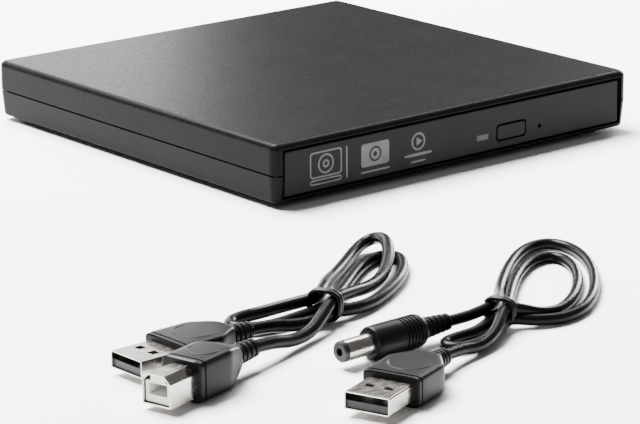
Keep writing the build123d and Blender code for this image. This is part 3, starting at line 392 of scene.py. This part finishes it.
def loft(name, place, stations, material, k=48):
    """Skin over cross-sections (x, half width, half height, exponent)."""
    bm = bmesh.new()
    rings = []
    for st in stations:
        x, w, h, p = st
        rings.append([bm.verts.new(place(x, a, b)) for a, b in superellipse(w, h, p, k)])
    for r0, r1 in zip(rings, rings[1:]):
        for i in range(k):
            j = (i + 1) % k
            bm.faces.new((r0[i], r0[j], r1[j], r1[i]))
    bm.faces.new(rings[0])
    bm.faces.new(list(reversed(rings[-1])))
    o = mesh_object(name, bm, material)
    sharpen(o, 38)
    return o


def sharpen(o, degrees):
    """Splits the shading at edges sharper than the angle."""
    m = o.modifiers.new("edges", "EDGE_SPLIT")
    m.split_angle = math.radians(degrees)
    return m


def ribs(x0, x1, n, r0, r1, core):
    """Ring ribs of a strain relief between x0 and x1, tapering from r0 to r1."""
    out = []
    pitch = (x1 - x0) / n
    for i in range(n):
        a = x0 + i * pitch
        t = (i + 0.5) / n
        r = r0 + (r1 - r0) * t
        g = pitch * 0.34
        b = pitch - g
        out += [(a + 0.02, core, core, 2.0), (a + g, core, core, 2.0),
                (a + g + 0.02, r - 0.12, r - 0.12, 2.0), (a + g + 0.14, r, r, 2.0),
                (a + g + b - 0.16, r, r, 2.0), (a + pitch, r - 0.14, r - 0.14, 2.0)]
    return out


PLUG_A = placed((-191.0, -162.5), 2.0, 3.9)
PLUG_B = placed((-199.0, -185.5), 15.0, 5.3)
PLUG_DC = placed((-147.0, -190.2), 1.0, 4.4)
PLUG_A2 = placed((-165.0, -221.5), 20.6, 3.9)

A_BODY = [
    (11.78, 6.9, 3.15, 9.0), (11.80, 7.3, 3.5, 9.0), (12.0, 7.62, 3.78, 9.0), (12.8, 7.68, 3.82, 9.0),
    (12.9, 7.45, 3.62, 9.0), (13.3, 7.45, 3.62, 9.0), (13.4, 7.72, 3.86, 9.0),
    (14.2, 7.78, 3.88, 9.0), (17.0, 7.8, 3.89, 9.0), (22.5, 7.8, 3.89, 9.0), (23.9, 7.78, 3.89, 9.0),
    (24.6, 7.6, 3.89, 9.0), (25.6, 7.05, 3.88, 9.0), (27.0, 6.2, 3.86, 8.0), (28.6, 5.2, 3.80, 7.5),
    (30.2, 4.25, 3.66, 6.5), (31.4, 3.6, 3.4, 5.0), (31.9, 3.25, 3.15, 4.0), (32.1, 2.9, 2.9, 3.0),
    (32.15, 2.6, 2.6, 2.2),
]
A_RELIEF = ribs(32.15, 38.8, 4, 2.75, 2.25, 1.95) + [(39.0, 2.0, 2.0, 2.0)]
B_BODY = [
    (9.52, 5.2, 4.7, 8.0), (9.55, 5.6, 5.0, 8.0), (9.8, 5.95, 5.2, 8.0), (11.0, 6.0, 5.24, 8.0),
    (11.1, 5.75, 5.02, 8.0), (11.5, 5.75, 5.02, 8.0), (11.6, 6.0, 5.24, 8.0),
    (12.6, 6.02, 5.26, 8.0), (16.0, 6.04, 5.27, 8.0), (20.5, 6.04, 5.27, 8.0), (21.6, 5.98, 5.26, 8.0),
    (22.8, 5.65, 5.1, 7.0), (24.4, 5.05, 4.75, 6.0), (26.0, 4.45, 4.3, 5.5), (27.6, 3.85, 3.85, 5.0),
    (28.9, 3.4, 3.4, 4.0), (29.7, 3.1, 3.1, 3.0), (29.9, 2.8, 2.8, 2.4), (29.95, 2.6, 2.6, 2.0),
]
B_RELIEF = ribs(29.95, 37.8, 4, 2.8, 2.35, 1.95) + [(38.0, 2.0, 2.0, 2.0)]
DC_BODY = [
    (9.52, 3.1, 3.1, 2.0), (9.55, 3.6, 3.6, 2.0), (9.8, 4.1, 4.1, 2.0), (10.4, 4.34, 4.34, 2.0),
    (11.5, 4.38, 4.38, 2.0), (15.0, 4.38, 4.38, 2.0), (18.9, 4.36, 4.36, 2.0),
]
for gx in (19.0, 20.1, 21.2, 22.3, 23.4):
    DC_BODY += [(gx, 4.34, 4.34, 2.0), (gx + 0.04, 4.05, 4.05, 2.0), (gx + 0.42, 4.05, 4.05, 2.0),
                (gx + 0.46, 4.34, 4.34, 2.0)]
DC_BODY += [(25.0, 4.3, 4.3, 2.0), (25.9, 4.0, 4.0, 2.0), (26.6, 3.45, 3.45, 2.0), (26.9, 3.05, 3.05, 2.0),
            (27.0, 2.8, 2.8, 2.0)]
DC_RELIEF = ribs(27.0, 35.8, 5, 2.85, 2.15, 1.8) + [(36.0, 1.8, 1.8, 2.0)]


def thumb_arc(name, place, cx, r, a0, a1, top, material):
    """Raised grip line moulded on the plug's upper face."""
    bm = bmesh.new()
    n, k = 36, 8
    rings = []
    for i in range(n + 1):
        t = i / n
        a = math.radians(a0 + (a1 - a0) * t)
        fade = min(1.0, 8 * t, 8 * (1 - t))
        x, y = cx + r * math.cos(a), r * math.sin(a)
        ring = []
        for j in range(k):
            b = 2 * math.pi * j / k
            rr = 0.32 * math.cos(b)
            ring.append(bm.verts.new(place(x + rr * math.cos(a), y + rr * math.sin(a),
                                           top - 0.10 + 0.22 * fade * math.sin(b))))
        rings.append(ring)
    for r0, r1 in zip(rings, rings[1:]):
        for j in range(k):
            bm.faces.new((r0[j], r0[(j + 1) % k], r1[(j + 1) % k], r1[j]))
    bm.faces.new(rings[0])
    bm.faces.new(list(reversed(rings[-1])))
    return mesh_object(name, bm, material)


def plug_mould(name, place, stations, node, body):
    o = loft(name, place, stations, M_MOULD)
    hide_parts(node)
    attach(o, body)
    return o


mould_a = plug_mould("data_plug_a_moulding", PLUG_A, A_BODY + A_RELIEF, "data_plug_a_mould", "data_cable")
mould_b = plug_mould("data_plug_b_moulding", PLUG_B, B_BODY + B_RELIEF, "data_plug_b_mould", "data_cable")
mould_dc = plug_mould("power_plug_moulding", PLUG_DC, DC_BODY + DC_RELIEF, "power_plug_mould", "power_cable")
mould_a2 = plug_mould("power_usb_moulding", PLUG_A2, A_BODY + A_RELIEF, "power_usb_mould", "power_cable")
arcs = [
    (thumb_arc("data_plug_a_grip", PLUG_A, 21.0, 5.2, 55, 305, 3.89, M_MOULD), "data_cable"),
    (thumb_arc("power_usb_grip", PLUG_A2, 21.0, 5.2, 55, 305, 3.89, M_MOULD), "power_cable"),
    (thumb_arc("data_plug_b_grip", PLUG_B, 18.0, 3.9, 55, 305, 5.27, M_MOULD), "data_cable"),
]
for o, body in arcs:
    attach(o, body)


# ------------------------------------------------------------------- ties
def tie(name, centre, angle, half_w, half_h, zc, wire, body, node):
    """Coated wire tie wound twice round the bundle."""
    c, s = math.cos(math.radians(angle)), math.sin(math.radians(angle))
    t = Vector((c, s, 0))
    n = Vector((-s, c, 0))
    up = Vector((0, 0, 1))
    base = Vector((centre[0], centre[1], zc))
    bm = bmesh.new()
    turns, steps, k = 2.0, 128, 10
    pts = []
    for i in range(steps + 1):
        u = i / steps
        a = 2 * math.pi * turns * u + 0.6
        e = 2.0 / 2.6
        ca, sa = math.cos(a), math.sin(a)
        w = math.copysign(abs(ca) ** e, ca) * half_w
        h = math.copysign(abs(sa) ** e, sa) * half_h
        along = (u - 0.5) * 2.5 + 0.25 * math.sin(3 * a)
        pts.append(base + t * along + n * w + up * h)
    rings = []
    for i, p in enumerate(pts):
        d = (pts[min(i + 1, steps)] - pts[max(i - 1, 0)]).normalized()
        x = d.cross(t).normalized()
        y = d.cross(x).normalized()
        ring = []
        for j in range(k):
            b = 2 * math.pi * j / k
            q = p + x * (wire * math.cos(b)) + y * (wire * 1.25 * math.sin(b))
            q.z = max(q.z, 0.02)
            ring.append(bm.verts.new(q * MM))
        rings.append(ring)
    for r0, r1 in zip(rings, rings[1:]):
        for j in range(k):
            bm.faces.new((r0[j], r0[(j + 1) % k], r1[(j + 1) % k], r1[j]))
    bm.faces.new(rings[0])
    bm.faces.new(list(reversed(rings[-1])))
    o = mesh_object(name, bm, M_TIE)
    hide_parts(node)
    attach(o, body)
    return o


data_tie = tie("data_twist_tie", (-126.0, -159.3), 28.0, 4.4, 4.0, 4.6, 0.58, "data_cable", "data_tie")
power_tie = tie("power_twist_tie", (-94.9, -191.6), 22.0, 4.0, 3.7, 4.2, 0.55, "power_cable", "power_tie")

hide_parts("data_cord_a", "data_cord_b", "data_hank")
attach(data_cord, "data_cable")
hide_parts("power_cord_dc", "power_cord_a", "power_hank")
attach(power_cord, "power_cable")


# ------------------------------------------ lips behind the seam at the front
def seam_lip(name, side):
    bm = bmesh.new()
    xs = sorted((side * 69.65, side * 71.2))
    vs = [bm.verts.new((x * MM, y * MM, z * MM)) for x in xs for y in (-71.1, -64.5) for z in (9.77, 10.23)]
    for f in ((0, 1, 3, 2), (4, 6, 7, 5), (0, 4, 5, 1), (2, 3, 7, 6), (0, 2, 6, 4), (1, 5, 7, 3)):
        bm.faces.new([vs[i] for i in f])
    o = mesh_object(name, bm, M_TOP, smooth=False)
    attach(o, "housing")


seam_lip("seam_lip_left", -1)
seam_lip("seam_lip_right", 1)


# ----------------------------------------------------------- printed marks
BEZEL_Y = -71.5
INK = 0.02


def rounded_square(cx, cz, w, h, r, k=64):
    """Outline of a rounded rectangle, one point for each equal step of angle about its centre."""
    out = []
    for i in range(k):
        a = 2 * math.pi * (i + 0.5) / k
        c, s = math.cos(a), math.sin(a)
        lo, hi = 0.0, w + h
        for _ in range(40):
            m = (lo + hi) / 2
            x, z = abs(m * c), abs(m * s)
            dx, dz = max(x - (w / 2 - r), 0), max(z - (h / 2 - r), 0)
            if x <= w / 2 and z <= h / 2 and math.hypot(dx, dz) <= r:
                lo = m
            else:
                hi = m
        out.append((cx + lo * c, cz + lo * s))
    return out


def circle(cx, cz, r, k=64):
    return [(cx + r * math.cos(2 * math.pi * (i + 0.5) / k), cz + r * math.sin(2 * math.pi * (i + 0.5) / k))
            for i in range(k)]


def ink_band(bm, outer, inner):
    """Ink between two outlines with the same number of points."""
    def ring(pts, y):
        return [bm.verts.new((x * MM, y * MM, z * MM)) for x, z in pts]

    of, nf = ring(outer, BEZEL_Y - INK), ring(inner, BEZEL_Y - INK)
    ob, nb = ring(outer, BEZEL_Y + 0.01), ring(inner, BEZEL_Y + 0.01)
    k = len(outer)
    for i in range(k):
        j = (i + 1) % k
        bm.faces.new((of[i], of[j], nf[j], nf[i]))
        bm.faces.new((ob[i], ob[j], of[j], of[i]))
        bm.faces.new((nb[j], nb[i], nf[i], nf[j]))
        bm.faces.new((ob[j], ob[i], nb[i], nb[j]))


def ink_patch(bm, outer):
    f = [bm.verts.new((x * MM, (BEZEL_Y - INK) * MM, z * MM)) for x, z in outer]
    b = [bm.verts.new((x * MM, (BEZEL_Y + 0.01) * MM, z * MM)) for x, z in outer]
    k = len(outer)
    bm.faces.new(f)
    bm.faces.new(list(reversed(b)))
    for i in range(k):
        j = (i + 1) % k
        bm.faces.new((b[i], b[j], f[j], f[i]))


def mark(name, bands, patches):
    bm = bmesh.new()
    for outer, inner in bands:
        ink_band(bm, outer, inner)
    for outer in patches:
        ink_patch(bm, outer)
    o = mesh_object(name, bm, M_PRINT, smooth=False)
    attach(o, "tray")
    return o


# a disc in a frame, a block with a dot ring, and an arrow over a short bar
mark("mark_disc",
     [(rounded_square(-52.6, 10.9, 12.2, 8.0, 1.0), rounded_square(-52.6, 10.9, 11.2, 7.0, 0.6)),
      (circle(-52.6, 10.9, 3.0), circle(-52.6, 10.9, 2.45)),
      (circle(-52.6, 10.9, 1.25), circle(-52.6, 10.9, 0.65)),
      (rounded_square(-52.6, 5.7, 12.2, 1.6, 0.3), rounded_square(-52.6, 5.7, 11.4, 0.8, 0.1))],
     [rounded_square(-44.6, 9.9, 0.6, 10.0, 0.2)])
mark("mark_block",
     [(rounded_square(-33.55, 10.5, 10.9, 7.1, 0.8), circle(-33.55, 10.5, 2.35)),
      (circle(-33.55, 10.5, 1.75), circle(-33.55, 10.5, 0.75))],
     [rounded_square(-33.5, 5.4, 12.6, 0.55, 0.2)])
mark("mark_arrow",
     [(circle(-16.5, 11.3, 2.75), circle(-16.5, 11.3, 2.15))],
     [[(-17.2, 12.6), (-17.2, 10.0), (-14.9, 11.3)],
      rounded_square(-16.5, 7.3, 11.0, 0.9, 0.4),
      rounded_square(-16.5, 5.2, 6.2, 0.6, 0.25)])


# ------------------------------------------------------------------- stage
def make_stage():
    bm = bmesh.new()
    s = 4.0
    vs = [bm.verts.new((x * s, y * s, -0.0001)) for x, y in ((-1, -1), (1, -1), (1, 1), (-1, 1))]
    bm.faces.new(vs)
    m, nt, b, tc = new_material("floor_pale")
    g = noise(nt, tc, 6.0, 3.0)
    nt.links.new(ramp(nt, g.outputs["Fac"], (0.90, 0.90, 0.90), (0.93, 0.93, 0.93)), b.inputs["Base Color"])
    b.inputs["Roughness"].default_value = 0.9
    b.inputs["Specular IOR Level"].default_value = 0.1
    o = mesh_object("floor", bm, m, smooth=False)
    w = bpy.data.worlds.new("studio")
    bpy.context.scene.world = w
    w.use_nodes = True
    bg = w.node_tree.nodes["Background"]
    bg.inputs["Color"].default_value = (0.95, 0.97, 1.0, 1)
    bg.inputs["Strength"].default_value = 0.18


def area(name, loc, target, size, power, color=(1, 1, 1)):
    li = bpy.data.lights.new(name, "AREA")
    li.shape = "RECTANGLE"
    li.size, li.size_y = size
    li.energy = power
    li.color = color
    o = bpy.data.objects.new(name, li)
    bpy.context.scene.collection.objects.link(o)
    o.location = loc
    d = Vector(target) - Vector(loc)
    o.rotation_euler = d.to_track_quat("-Z", "Y").to_euler()
    return o


make_stage()
area("key", (-0.14, 0.60, 1.28), (-0.06, -0.12, 0), (0.9, 0.9), 185)
area("top_right", (0.75, 0.45, 0.95), (0.0, -0.05, 0.0), (0.5, 0.5), 8)
area("back_left", (0.045, 0.56, 0.145), (-0.07, 0.05, 0.02), (0.56, 0.22), 3.2)
area("back_mid", (0.40, 0.50, 0.15), (0.02, 0.03, 0.02), (0.42, 0.18), 0.05)
area("back_right", (0.52, 0.16, 0.14), (0.08, -0.06, 0.02), (0.17, 0.18), 3.8)
